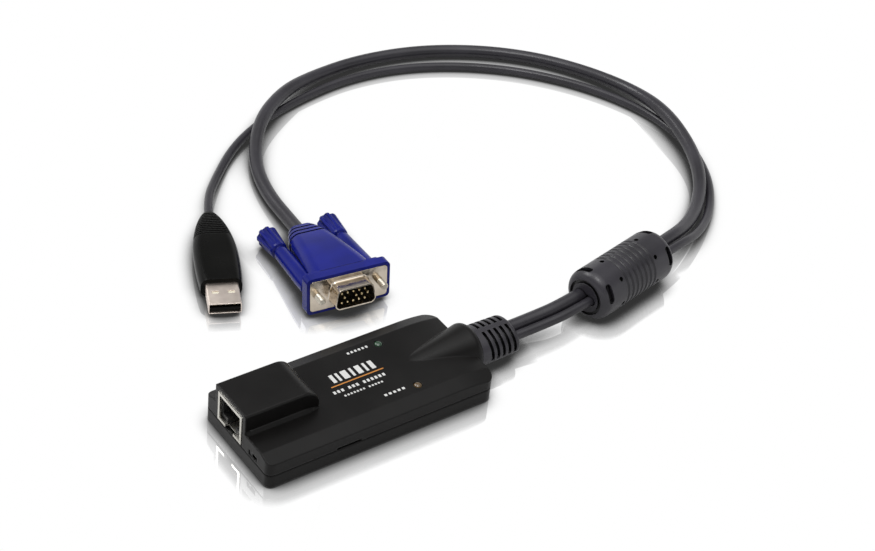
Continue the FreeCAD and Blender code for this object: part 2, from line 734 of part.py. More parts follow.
def switch_can():
    """The switch on the board: a metal can, open in front for the knob."""
    wide = "{slot_wide} + 3"
    tall = "{slot_tall} + 1.6"
    can = box("switch_case", (SWITCH_FRONT + " + {board_gap}", "-{slot_side} - ({slot_wide} + 3) / 2", BOARD_TOP),
              ("4", wide, tall))
    room = box("switch_room", (SWITCH_FRONT + " - 1", "-{slot_side} - {slot_wide} / 2", SLOT_LOW),
               ("{board_gap} + 3.2", "{slot_wide}", "{slot_tall}"))
    return cut("switch_can", can, room)


keep(switch_can(), "switch_can")


def switch_knob():
    """The knob, at the end of its travel nearest the middle; its tail runs in the can."""
    left = "-{slot_side} + {slot_wide} / 2 - {knob_play} - {knob_wide}"
    low = SLOT_LOW + " + {knob_play} / 2"
    tall = "{slot_tall} - {knob_play}"
    front = "-{case_long} / 2 + {knob_sunk}"
    stem = box("knob_stem", (front, left, low), ("{wall} + 2.6 - {knob_sunk}", "{knob_wide}", tall))
    return stem


keep(switch_knob(), "switch_knob")

# ---------------------------------------------------------------- strain relief

THICK = size("vga_cord") / 2
THIN = size("usb_cord") / 2
SPAN = 2 * THICK + 2 * THIN + size("cord_gap")
THICK_SIDE = SPAN / 2 - THICK
THIN_SIDE = THIN - SPAN / 2


def pair_bores(start, length, middle):
    """The two bores, side by side, that hold both cables; the thick one is towards +Y."""
    bores = []
    for side, radius in ((THICK_SIDE, THICK), (THIN_SIDE, THIN)):
        bores.append(Part.makeCylinder(radius + size("fit") / 2, length, Vector(start, side, middle), ALONG))
    return bores


def wedge(x, width, low, high, reach):
    """A sector across the cable line; angles in degrees from -Y up towards +Z."""
    middle = size("boot_line")
    points = [Vector(x, 0, middle)]
    for n in range(5):
        angle = math.radians(low + (high - low) * n / 4)
        points.append(Vector(x, -reach * math.cos(angle), middle + reach * math.sin(angle)))
    return polygon_face(points).extrude(Vector(width, 0, 0))


def strain_relief():
    """An oval sleeve with a neck in the rear wall and rings of slots round its middle."""
    line = size("boot_line")
    end = REAR + size("boot_long")
    start = REAR + size("fit")
    sleeve = Part.makeLoft([oval(start, line, BOOT_HALF_WIDE, BOOT_HALF_TALL),
                            oval(end, line, BOOT_HALF_WIDE - 0.5, BOOT_HALF_TALL - 0.5)], True, False)
    rim = [edge for edge in sleeve.Edges if edge.BoundBox.XMin > end - 0.01]
    sleeve = sleeve.makeFillet(1.4, rim)
    neck = oval_bar(REAR - size("boot_in"), size("boot_in") + 1, line, NECK_HALF_WIDE, NECK_HALF_TALL)
    core = oval_bar(REAR, size("boot_long"), line, BOOT_HALF_WIDE - 1.9, BOOT_HALF_TALL - 1.9)
    rings = int(size("boot_rings"))
    slots = []
    for ring in range(rings):
        x = end - 2.6 - (rings - 1 - ring) * size("ring_pitch") - size("slot_cut") / 2
        for low, high in ((-8, 80), (100, 188), (-44, -24), (204, 224)):
            slots.append(wedge(x, size("slot_cut"), low, high, BOOT_HALF_WIDE + 3))
    slots = [slot.cut(core) for slot in slots]
    bores = pair_bores(end - size("cord_seat"), size("cord_seat") + 1, line)
    return sleeve.fuse(neck).cut(slots).cut(bores)


shaped("cable_boot", strain_relief())

# ---------------------------------------------------------------- where the loose ends lie

CHOKE_START = Vector(101.0, -0.6, size("choke_round") + 0.1)
CHOKE_TURN = 12.0
choke_frame = Placement(CHOKE_START, Rotation(CHOKE_TURN, 0, 0))

PLUG_TILT = 6.5
plug_back = size("plate_proud") + size("flange_thick") + size("step_thick") + size("thumb_gap") + size("thumb_long")
plug_rest = size("thumb_grip") * math.cos(math.radians(PLUG_TILT)) + 0.05
plug_rest += plug_back * math.sin(math.radians(PLUG_TILT))
vga_frame = Placement(Vector(27.8, 45.6, plug_rest), Rotation(-97.5, -PLUG_TILT, 0))
usb_frame = Placement(Vector(-13.9, 62.4, size("usb_grip_tall") / 2 + 0.05), Rotation(-113.5, 0, 0))

# ---------------------------------------------------------------- ferrite


def choke_sleeve():
    """The moulding over the core: rounded ends, grooves, slots and small holes."""
    radius = size("choke_round")
    long = size("choke_long")
    bar = Part.makeCylinder(radius, long, Vector(), ALONG)
    ends = [edge for edge in bar.Edges if edge.Curve.TypeId == "Part::GeomCircle"]
    bar = bar.makeFillet(size("choke_end"), ends)
    tools = []
    middle = long / 2
    count = int(size("choke_grooves"))
    for n in range(count):
        x = middle + (n - (count - 1) / 2) * size("groove_pitch")
        tools.append(Part.makeTorus(radius + 0.3, 0.72, Vector(x, 0, 0), ALONG))
    for x in (0, long - 1.1):
        ring = Part.makeCylinder(radius - 2.9, 1.1, Vector(x, 0, 0), ALONG)
        tools.append(ring.cut(Part.makeCylinder(radius - 4.1, 1.1, Vector(x, 0, 0), ALONG)))
    for quarter in range(4):
        turn = Rotation(ALONG, 90 * quarter + 60)
        for x in (3.7, long - 3.7):
            slot = Part.makeBox(2.4, 4, 7.6, Vector(x - 1.2, radius - 2.2, -3.8))
            slot = slot.makeFillet(1.1, [edge for edge in slot.Edges if along(edge, ACROSS)])
            slot.Placement = Placement(Vector(), turn)
            tools.append(slot)
    for sixth in range(6):
        outward = Rotation(ALONG, 60 * sixth + 14).multVec(ACROSS)
        for x in (11.1, long - 11.1):
            tools.append(Part.makeCylinder(0.9, 3, Vector(x, 0, 0) + outward * (radius - 1.4), outward))
    room = size("core_long") + 2 * size("fit")
    start = (long - room) / 2
    tools.append(Part.makeCylinder(size("core_round") + size("fit"), room, Vector(start, 0, 0), ALONG))
    half = size("cord_gap") / 2
    flat = Part.makeBox(long + 2, THICK_SIDE - THIN_SIDE, 2 * THIN + half, Vector(-1, THIN_SIDE, -THIN - half / 2))
    tools += [flat] + pair_bores(-1, long + 2, 0)
    return bar.cut(tools)


shaped("ferrite_sleeve", choke_sleeve(), choke_frame)


def ferrite_core():
    start = "({choke_long} - {core_long}) / 2"
    outer = rod("core_outer", (start, "0", "0"), "{core_round}", "{core_long}", LYING)
    bore = rod("core_hole", (start + " - 1", "0", "0"), "{core_bore}", "{core_long} + 2", LYING)
    return cut("core", outer, bore)


keep(ferrite_core(), "ferrite_core", choke_frame)

# ---------------------------------------------------------------- cables


def out_of(frame, x, y=0.0):
    """A place on a moulding's own axis, in the housing's frame."""
    return frame.multVec(Vector(x, y, 0))


def cord_path(points):
    """Straight runs joined by tangent arcs; prints the radius of each arc."""
    edges = []
    radii = []
    start = points[0]
    for before, here, after in zip(points, points[1:], points[2:]):
        back = before - here
        ahead = after - here
        shorter = min(back.Length, ahead.Length)
        turn = math.pi - back.getAngle(ahead)
        step = 0.45 * shorter
        radius = step / math.tan(turn / 2)
        back.normalize()
        ahead.normalize()
        enter = here + back * step
        leave = here + ahead * step
        inward = (back + ahead).normalize()
        middle = here + inward * (radius / math.cos(turn / 2) - radius)
        edges.append(Part.LineSegment(start, enter).toShape())
        edges.append(Part.Arc(enter, middle, leave).toShape())
        start = leave
        radii.append(radius)
    edges.append(Part.LineSegment(start, points[-1]).toShape())
    return Part.Wire(edges), radii


def cord(label, points, diameter):
    path, radii = cord_path(points)
    start = points[0]
    heading = (points[1] - points[0]).normalize()
    ring = Part.Wire([Part.Circle(start, heading, diameter / 2).toShape()])
    tube = path.makePipeShell([ring], True, False)
    wanted = math.pi * diameter ** 2 / 4 * path.Length
    print(label, "length", round(path.Length, 1), "volume", round(tube.Volume / wanted, 4),
          "radii", [round(r, 1) for r in radii])
    return shaped(label, tube)


BOOT_SEAT = REAR + size("boot_long") - size("cord_seat")
LINE = size("boot_line")
RIDE = 2.75

VGA_ROUTE = [
    Vector(BOOT_SEAT, THICK_SIDE, LINE),
    Vector(75.0, THICK_SIDE, LINE),
    out_of(choke_frame, -7.0, THICK_SIDE),
    out_of(choke_frame, size("choke_long") + 10.0, THICK_SIDE),
    Vector(170.5, 20.5, 5.2),
    Vector(187.0, 32.5, 3.2),
    Vector(199.0, 46.5, 4.4),
    Vector(206.9, 63.5, 5.9),
    Vector(211.8, 84.5, 7.2),
    Vector(213.3, 106.0, 4.2),
    Vector(206.0, 128.5, RIDE),
    Vector(192.0, 148.5, RIDE),
    Vector(172.0, 165.0, RIDE),
    Vector(147.5, 176.6, RIDE),
    Vector(121.0, 181.4, RIDE),
    Vector(97.0, 178.8, 3.6),
    Vector(76.5, 170.8, 6.7),
    Vector(57.0, 157.3, 6.7),
    Vector(43.2, 138.5, 3.2),
    Vector(36.6, 118.0, RIDE),
    out_of(vga_frame, -size("hood_long") - 9.0),
    out_of(vga_frame, -size("hood_long") + size("cord_seat")),
]

FLAT = 1.8

USB_ROUTE = [
    Vector(BOOT_SEAT, THIN_SIDE, LINE),
    Vector(75.0, THIN_SIDE, LINE),
    out_of(choke_frame, -7.0, THIN_SIDE),
    out_of(choke_frame, size("choke_long") + 10.0, THIN_SIDE),
    Vector(171.0, 14.5, 4.6),
    Vector(188.0, 26.5, FLAT),
    Vector(202.0, 43.5, FLAT),
    Vector(210.3, 64.0, FLAT),
    Vector(211.5, 86.5, FLAT),
    Vector(205.7, 107.5, FLAT),
    Vector(194.5, 127.5, FLAT),
    Vector(178.5, 145.7, FLAT),
    Vector(158.0, 160.2, FLAT),
    Vector(135.0, 169.8, FLAT),
    Vector(110.5, 172.9, FLAT),
    Vector(87.0, 169.8, FLAT),
    Vector(64.0, 163.3, FLAT),
    Vector(42.8, 152.6, FLAT),
    Vector(25.5, 137.0, FLAT),
    out_of(usb_frame, -size("usb_out") - size("usb_grip") - 9.0),
    out_of(usb_frame, -size("usb_out") - size("usb_grip") + size("cord_seat")),
]

cord("vga_cable", VGA_ROUTE, size("vga_cord"))
cord("usb_cable", USB_ROUTE, size("usb_cord"))

# ---------------------------------------------------------------- USB plug


def rounded_wire(x, half_wide, half_tall, radius, lift=0.0):
    """An upright rounded rectangle across a plug's axis."""
    edges = []
    corners = []
    for quarter, (side, rise) in enumerate(((1, 1), (-1, 1), (-1, -1), (1, -1))):
        centre = Vector(x, side * (half_wide - radius), lift + rise * (half_tall - radius))
        angles = [math.radians(90 * quarter + step) for step in (0, 45, 90)]
        corners.append([centre + Vector(0, math.cos(a), math.sin(a)) * radius for a in angles])
    for here, following in zip(corners, corners[1:] + corners[:1]):
        edges.append(Part.Arc(*here).toShape())
        edges.append(Part.LineSegment(here[2], following[0]).toShape())
    return Part.Wire(edges)


def rounded_bar(x, length, half_wide, half_tall, radius, lift=0.0):
    return Part.Face(rounded_wire(x, half_wide, half_tall, radius, lift)).extrude(Vector(length, 0, 0))


def grip_form(inset):
    """The USB grip: flat and wide in front, drawn down to the cable at its rear."""
    wide = size("usb_grip_wide") / 2
    tall = size("usb_grip_tall") / 2
    neck = THIN + 0.75
    stations = [
        (0.0, wide * 0.91, tall * 0.97),
        (0.16, wide * 0.98, tall),
        (0.34, wide, tall),
        (0.54, wide * 0.96, tall),
        (0.74, wide * 0.79, tall * 0.92),
        (0.90, wide * 0.55, tall * 0.76),
        (1.0, neck, neck),
    ]
    wires = []
    for share, half_wide, half_tall in stations:
        x = -size("usb_out") - share * size("usb_grip")
        radius = min(half_wide, half_tall) * 0.82
        wires.append(rounded_wire(x, half_wide - inset, half_tall - inset, radius - inset * 0.8))
    return Part.makeLoft(wires, True, False)


def usb_grip():
    grip = grip_form(0)
    rear = -size("usb_out") - size("usb_grip")
    count = int(size("grip_ribs"))
    inner = grip_form(0.4)
    grooves = []
    for n in range(count):
        x = rear + 1.6 + n * size("rib_pitch")
        slab = Part.makeBox(0.6, size("usb_grip_wide"), size("usb_grip_tall"),
                            Vector(x, -size("usb_grip_wide") / 2, -size("usb_grip_tall") / 2))
        grooves.append(slab.cut(inner))
    clear = size("fit")
    hold = size("usb_hold")
    shell = rounded_bar(-size("usb_out") - hold, hold + 1, size("usb_wide") / 2 + clear,
                        size("usb_tall") / 2 + clear, 0.7)
    bore = Part.makeCylinder(THIN + clear / 2, size("cord_seat") + 1, Vector(rear - 1, 0, 0), ALONG)
    return grip.cut(grooves + [shell, bore])


shaped("usb_grip", usb_grip(), usb_frame)


def usb_shell():
    """The drawn metal shell with two spring windows above and two below."""
    metal = size("usb_metal")
    wide = size("usb_wide") / 2
    tall = size("usb_tall") / 2
    long = size("usb_out") + size("usb_hold")
    shell = rounded_bar(-long, long, wide, tall, 0.6)
    room = rounded_bar(-long + metal, long, wide - metal, tall - metal, 0.3)
    windows = []
    for side in (-1, 1):
        spot = Vector(-7.4, side * size("window_side") - size("window_wide") / 2, -tall - 1)
        windows.append(Part.makeBox(size("window_long"), size("window_wide"), 2 * tall + 2, spot))
    return shell.cut([room] + windows)


shaped("usb_shell", usb_shell(), usb_frame)


TONGUE_LOW = size("usb_metal") + 0.05 - size("usb_tall") / 2


def usb_tongue():
    """The block behind and the tongue under the gap."""
    wide = size("usb_wide") - 2 * size("usb_metal") - 0.1
    tall = size("usb_tall") - 2 * size("usb_metal") - 0.1
    rear = -size("usb_out") - size("usb_hold") + size("usb_metal") + 0.05
    block = rounded_bar(rear, -size("usb_out") - rear, wide / 2, tall / 2, 0.3)
    full = rounded_bar(rear, -0.8 - rear, wide / 2, tall / 2, 0.3)
    under = Part.makeBox(-rear, wide, size("usb_tongue"), Vector(rear, -wide / 2, TONGUE_LOW))
    return block.fuse(full.common(under)).removeSplitter()


shaped("usb_tongue", usb_tongue(), usb_frame)


def usb_contacts():
    top = TONGUE_LOW + size("usb_tongue")
    strips = []
    for y in (-3.5, -1.0, 1.0, 3.5):
        strips.append(Part.makeBox(7.4, 1.0, 0.12, Vector(-9.4, y - 0.5, top)))
    return Part.makeCompound(strips)


shaped("usb_contacts", usb_contacts(), usb_frame)

# ---------------------------------------------------------------- monitor plug

PLATE_BACK = -size("plate_thick")
FLANGE_FRONT = -size("plate_proud")
FLANGE_BACK = FLANGE_FRONT - size("flange_thick")
STEP_BACK = FLANGE_BACK - size("step_thick")


def dee(x, length, inset):
    """A D-shaped bar: wide side down, its corners rounded."""
    tall = size("dee_tall") / 2 - inset
    slope = math.tan(math.radians(size("dee_slope")))
    low = size("dee_wide") / 2 - inset
    high = low - 2 * tall * slope
    corners = [(-low, -tall), (low, -tall), (high, tall), (-high, tall)]
    bar = polygon_face([Vector(x, y, z) for y, z in corners]).extrude(Vector(length, 0, 0))
    edges = [edge for edge in bar.Edges if along(edge, ALONG)]
    return bar.makeFillet(size("dee_round") - inset, edges)


def thumb_bars(radius, start, end):
    """Two bars on the thumbscrews' axes, to cut their holes and channels."""
    bars = []
    for side in (-1, 1):
        bars.append(Part.makeCylinder(radius, end - start, Vector(start, side * size("thumb_side"), 0), ALONG))
    return bars


def hood_form(inset):
    """The hood behind the flange: wide in front, drawn in evenly to the cable."""
    wide = size("hood_wide") / 2
    tall = size("hood_tall") / 2
    neck = THICK + 1.4
    rear = -size("hood_long")
    stations = [
        (STEP_BACK + 0.5, wide, tall),
        (rear * 0.36, wide * 0.92, tall),
        (rear * 0.60, wide * 0.78, tall * 0.97),
        (rear * 0.80, wide * 0.66, tall * 0.88),
        (rear * 0.93, wide * 0.53, tall * 0.76),
        (rear, wide * 0.41, neck),
    ]
    wires = []
    for x, half_wide, half_tall in stations:
        wires.append(rounded_wire(x, half_wide - inset, half_tall - inset, half_tall * 0.72 - inset * 0.8))
    return Part.makeLoft(wires, True, False)


def vga_hood():
    wide = size("plate_wide") / 2 + size("flange_rim")
    tall = size("plate_tall") / 2 + size("flange_rim")
    corner = size("plate_corner") + 0.5
    back = size("step_rim")
    flange = rounded_bar(FLANGE_BACK, size("flange_thick"), wide, tall, corner)
    step = rounded_bar(STEP_BACK, size("step_thick"), wide - back, tall - back, corner)
    hood = flange.fuse([step, hood_form(0)])
    rear = -size("hood_long")
    inner = hood_form(0.6)
    grooves = []
    for n in range(int(size("hood_ribs"))):
        x = rear + 2.2 + n * size("hood_pitch")
        slab = Part.makeBox(0.9, 2 * wide, 2 * tall, Vector(x, -wide, -tall))
        grooves.append(slab.cut(inner))
    clear = size("fit")
    seat_room = rounded_bar(PLATE_BACK, 2, size("plate_wide") / 2 + clear, size("plate_tall") / 2 + clear,
                            size("plate_corner"))
    block_room = dee(-size("block_long") - clear, size("block_long"), -clear)
    bore = Part.makeCylinder(THICK + clear / 2, size("cord_seat") + 1, Vector(rear - 1, 0, 0), ALONG)
    holes = thumb_bars(size("thumb_neck") + size("thumb_run"), STEP_BACK - 1, 1)
    waist = STEP_BACK - size("thumb_gap") - size("thumb_long") + size("flute_long")
    holes += thumb_bars(size("thumb_barrel") + size("channel"), waist, STEP_BACK)
    holes += thumb_bars(size("thumb_grip") + size("channel"), rear - 10, waist + 1)
    return hood.cut(grooves + holes + [seat_room, block_room, bore])


shaped("vga_hood", vga_hood(), vga_frame)


def vga_shell():
    """The metal face and the D-shaped shell drawn out of it."""
    plate = rounded_bar(PLATE_BACK, size("plate_thick"), size("plate_wide") / 2, size("plate_tall") / 2,
                        size("plate_corner"))
    shell = plate.fuse(dee(PLATE_BACK, size("plate_thick") + size("dee_out"), 0))
    half = size("dee_wide") / 2 + 0.1
    root = []
    for edge in shell.Edges:
        bounds = edge.BoundBox
        if abs(bounds.XMin) < 0.01 and abs(bounds.XMax) < 0.01 and bounds.YMax < half and bounds.YMin > -half:
            root.append(edge)
    shell = shell.makeFillet(0.7, root)
    hollow = dee(PLATE_BACK - 1, size("dee_out") + 3, size("dee_metal"))
    return shell.cut([hollow] + thumb_bars(size("thumb_neck") + size("thumb_run"), PLATE_BACK - 1, 1))


shaped("vga_shell", vga_shell(), vga_frame)


def pin_places():
    """Three rows of five, the middle one half a pitch aside and short of one pin."""
    places = []
    pitch = size("pin_pitch")
    for row in (1, 0, -1):
        aside = pitch / 4 if row == 0 else -pitch / 4
        for n in range(5):
            if row == 0 and n == 1:
                continue
            places.append((aside + (n - 2) * pitch, row * size("row_pitch")))
    return places


def vga_insulator():
    block = dee(-size("block_long"), size("block_long") + size("plate_proud"), size("dee_metal") + 0.05)
    holes = []
    for y, z in pin_places():
        holes.append(Part.makeCylinder(size("pin_round"), size("pin_in") + 1, Vector(-size("pin_in"), y, z), ALONG))
    return block.cut(holes)


shaped("vga_insulator", vga_insulator(), vga_frame)


def vga_pins():
    """Fourteen pins with rounded tips."""
    pins = []
    radius = size("pin_round")
    for y, z in pin_places():
        pin = Part.makeCylinder(radius, size("pin_in") + size("pin_out"), Vector(-size("pin_in"), y, z), ALONG)
        tip = [edge for edge in pin.Edges if edge.BoundBox.XMin > size("pin_out") - 0.01]
        pins.append(pin.makeFillet(radius * 0.6, tip))
    return Part.makeCompound(pins)


shaped("vga_pins", vga_pins(), vga_frame)


def thumb_grip():
    """A barrel drawn in to a waist, and a fluted end that flares, on one axis."""
    front = STEP_BACK - size("thumb_gap")
    rear = front - size("thumb_long")
    neck = rear + size("flute_long")
    barrel = size("thumb_barrel")
    waist = size("thumb_waist")
    wide = size("thumb_grip")
    profile = [(front, 0), (front, barrel - 0.3), (front - 0.3, barrel), (front - 6, barrel),
               (neck + 1.6, barrel - 0.5), (neck + 0.9, waist), (neck, waist), (neck - 0.6, waist + 0.8),
               (neck - 1.4, waist + 1.0), (rear + 2.4, wide - 0.1), (rear + 1.2, wide), (rear + 0.4, wide - 0.3),
               (rear, wide - 0.9), (rear, 0)]
    grip = polygon_face([Vector(x, y, 0) for x, y in profile]).revolve(Vector(), ALONG, 360)
    count = int(size("flutes"))
    away = wide + 0.15
    grooves = []
    for n in range(count):
        angle = 2 * math.pi * (n + 0.5) / count
        spot = Vector(rear - 1, away * math.cos(angle), away * math.sin(angle))
        grooves.append(Part.makeCylinder(1.2, size("flute_long") - 0.2, spot, ALONG))
    bore = Part.makeCylinder(size("thumb_neck"), size("thumb_hold"), Vector(front - size("thumb_hold"), 0, 0), ALONG)
    return grip.cut(grooves + [bore])


def thumb_screw():
    """The steel: a tip too wide for its hole, and a neck that ends inside the grip."""
    tip = size("thumb_round")
    neck = size("thumb_neck")
    end = size("thumb_out")
    back = STEP_BACK - size("thumb_gap") - size("thumb_hold")
    profile = [(back, 0), (back, neck), (size("thumb_gap"), neck), (size("thumb_gap"), tip),
               (end - 0.5, tip), (end, tip - 0.5), (end, 0)]
    return polygon_face([Vector(x, y, 0) for x, y in profile]).revolve(Vector(), ALONG, 360)


for name, side in (("left", -1), ("right", 1)):
    place = vga_frame.multiply(Placement(Vector(0, side * size("thumb_side"), 0), Rotation()))
    shaped(name + "_thumb_grip", thumb_grip(), place)
    shaped(name + "_thumb_screw", thumb_screw(), place)

# ---------------------------------------------------------------- checks and files

doc.recompute()
for obj in doc.Objects:
    if "Invalid" in obj.State or "Error" in obj.State:
        raise RuntimeError(f"{obj.Label} failed: {obj.State}")
for obj in parts:
    if obj.Shape.isNull() or not obj.Shape.isValid():
        raise RuntimeError(obj.Label + " has no valid shape")

os.makedirs("parts", exist_ok=True)
for obj in parts:
    obj.Shape.exportStep(f"parts/{obj.Label}.step")
print(len(parts), "sub-parts written")
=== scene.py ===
import json
import math

import bpy
from mathutils import Matrix, Vector


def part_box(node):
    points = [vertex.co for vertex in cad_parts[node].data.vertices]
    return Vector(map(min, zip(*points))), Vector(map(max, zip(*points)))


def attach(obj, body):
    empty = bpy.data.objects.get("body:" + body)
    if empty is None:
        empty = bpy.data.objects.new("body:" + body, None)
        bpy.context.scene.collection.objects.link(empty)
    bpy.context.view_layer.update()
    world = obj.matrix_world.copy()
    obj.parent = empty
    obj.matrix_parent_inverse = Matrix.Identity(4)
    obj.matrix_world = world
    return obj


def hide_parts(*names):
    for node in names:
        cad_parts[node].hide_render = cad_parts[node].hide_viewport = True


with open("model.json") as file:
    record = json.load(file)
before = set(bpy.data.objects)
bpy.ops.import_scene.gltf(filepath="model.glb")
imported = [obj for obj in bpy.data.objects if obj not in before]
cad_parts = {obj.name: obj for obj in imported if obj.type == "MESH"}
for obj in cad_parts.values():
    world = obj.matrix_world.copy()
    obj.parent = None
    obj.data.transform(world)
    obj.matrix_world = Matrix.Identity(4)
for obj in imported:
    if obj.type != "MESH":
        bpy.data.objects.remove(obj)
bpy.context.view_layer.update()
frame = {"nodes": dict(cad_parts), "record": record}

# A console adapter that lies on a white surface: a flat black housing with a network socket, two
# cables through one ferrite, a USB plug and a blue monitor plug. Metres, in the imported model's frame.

MM = 0.001
NODES = frame["nodes"]
ROOT = "adapter"

# ---------------------------------------------------------------- camera


def make_camera(aim, azimuth, elevation, roll, distance, lens):
    """A camera that looks at aim from an azimuth and elevation, turned about its own axis by roll."""
    a, e = math.radians(azimuth), math.radians(elevation)
    back = Vector((math.sin(a) * math.cos(e), -math.cos(a) * math.cos(e), math.sin(e)))
    level = Vector((math.cos(a), math.sin(a), 0.0))
    above = back.cross(level)
    turn = math.radians(roll)
    right = level * math.cos(turn) + above * math.sin(turn)
    up = above * math.cos(turn) - level * math.sin(turn)
    data = bpy.data.cameras.new("camera")
    data.sensor_width = 36.0
    data.lens = lens
    data.clip_start = 0.01
    data.clip_end = 20.0
    camera = bpy.data.objects.new("camera", data)
    bpy.context.collection.objects.link(camera)
    facing = Matrix((right, up, back)).transposed().to_4x4()
    camera.matrix_world = Matrix.Translation(aim + back * distance) @ facing
    bpy.context.scene.camera = camera


make_camera(aim=Vector((0.06844, 0.04594, 0.0)), azimuth=-39.02, elevation=38.17, roll=6.73,
            distance=0.752, lens=82.3)

# ---------------------------------------------------------------- plugs' and ferrite's own frames


def place(spot, yaw, pitch=0.0):
    """A frame whose +X points out of a plug's face; angles in degrees, a positive pitch looks down."""
    turn = Matrix.Rotation(math.radians(yaw), 4, "Z") @ Matrix.Rotation(math.radians(pitch), 4, "Y")
    return Matrix.Translation(Vector(spot) * MM) @ turn


FERRITE = place((101.0, -0.6, 10.1), 12.0)
VGA = place((27.8, 45.6, 9.552), -97.5, -6.5)
USB = place((-13.9, 62.4, 4.4), -113.5)


def on(own, x, y=0.0, z=0.0):
    """A point of a plug's or the ferrite's own frame, from millimetres, in the row frame."""
    return own @ (Vector((x, y, z)) * MM)


# ---------------------------------------------------------------- cables

# Where the cables leave the boot: across from the middle, height, and the ends of the straight run.
THICK_SIDE = 1.9
THIN_SIDE = -2.85
EXIT_HIGH = 6.8
EXIT_START = 58.3
EXIT_END = 75.0
# The two points on either side of the ferrite, along its own frame.
FERRITE_IN = -7.0
FERRITE_OUT = 52.5


def route(points):
    return [p if isinstance(p, Vector) else Vector(p) * MM for p in points]


VGA_ROUTE = route([
    (EXIT_START, THICK_SIDE, EXIT_HIGH), (EXIT_END, THICK_SIDE, EXIT_HIGH),
    on(FERRITE, FERRITE_IN, THICK_SIDE), on(FERRITE, FERRITE_OUT, THICK_SIDE),
    (170.5, 20.5, 5.2), (187.0, 32.5, 3.2), (199.0, 46.5, 4.4), (206.9, 63.5, 5.9),
    (211.8, 84.5, 7.2), (213.3, 106.0, 4.2), (206.0, 128.5, 2.75), (192.0, 148.5, 2.75),
    (172.0, 165.0, 2.75), (147.5, 176.6, 2.75), (121.0, 181.4, 2.75), (97.0, 178.8, 3.6),
    (76.5, 170.8, 6.7), (57.0, 157.3, 6.7), (43.2, 138.5, 3.2), (36.6, 118.0, 2.75),
    on(VGA, -51.0), on(VGA, -34.0)])
USB_ROUTE = route([
    (EXIT_START, THIN_SIDE, EXIT_HIGH), (EXIT_END, THIN_SIDE, EXIT_HIGH),
    on(FERRITE, FERRITE_IN, THIN_SIDE), on(FERRITE, FERRITE_OUT, THIN_SIDE),
    (171.0, 14.5, 4.6), (188.0, 26.5, 1.8), (202.0, 43.5, 1.8), (210.3, 64.0, 1.8),
    (211.5, 86.5, 1.8), (205.7, 107.5, 1.8), (194.5, 127.5, 1.8), (178.5, 145.7, 1.8),
    (158.0, 160.2, 1.8), (135.0, 169.8, 1.8), (110.5, 172.9, 1.8), (87.0, 169.8, 1.8),
    (64.0, 163.3, 1.8), (42.8, 152.6, 1.8), (25.5, 137.0, 1.8),
    on(USB, -64.0), on(USB, -47.0)])


def cable(name, points, diameter):
    """A smooth round cable: one NURBS spline with the route's points as its control points.

    Its radius sits on the points, because Blender works out a curve's box from them."""
    data = bpy.data.curves.new(name, "CURVE")
    data.dimensions = "3D"
    data.resolution_u = 10
    data.bevel_depth = 1.0
    data.bevel_resolution = 6
    spline = data.splines.new("NURBS")
    spline.points.add(len(points) - 1)
    for control, point in zip(spline.points, points):
        control.co = (*point, 1.0)
        control.radius = diameter / 2
    spline.order_u = 3
    spline.use_endpoint_u = True
    obj = bpy.data.objects.new(name, data)
    bpy.context.collection.objects.link(obj)
    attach(obj, ROOT)
    return obj


VGA_DIAMETER = 5.4 * MM
USB_DIAMETER = 3.5 * MM
vga_cable = cable("monitor_cable", VGA_ROUTE, VGA_DIAMETER)
usb_cable = cable("thin_cable", USB_ROUTE, USB_DIAMETER)
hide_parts("vga_cable")
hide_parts("usb_cable")


def curve_length(obj):
    """The length of a curve's own line, with no bevel."""
    depth = obj.data.bevel_depth
    obj.data.bevel_depth = 0.0
    bpy.context.view_layer.update()
    mesh = bpy.data.meshes.new_from_object(obj)
    obj.data.bevel_depth = depth
    spots = [vertex.co.copy() for vertex in mesh.vertices]
    total = sum((spots[edge.vertices[0]] - spots[edge.vertices[1]]).length for edge in mesh.edges)
    bpy.data.meshes.remove(mesh)
    return total


# ---------------------------------------------------------------- materials


def set_range(node, from_min, from_max, to_min, to_max):
    """Sets the four numbers of a Map Range node."""
    node.inputs["From Min"].default_value = from_min
    node.inputs["From Max"].default_value = from_max
    node.inputs["To Min"].default_value = to_min
    node.inputs["To Max"].default_value = to_max


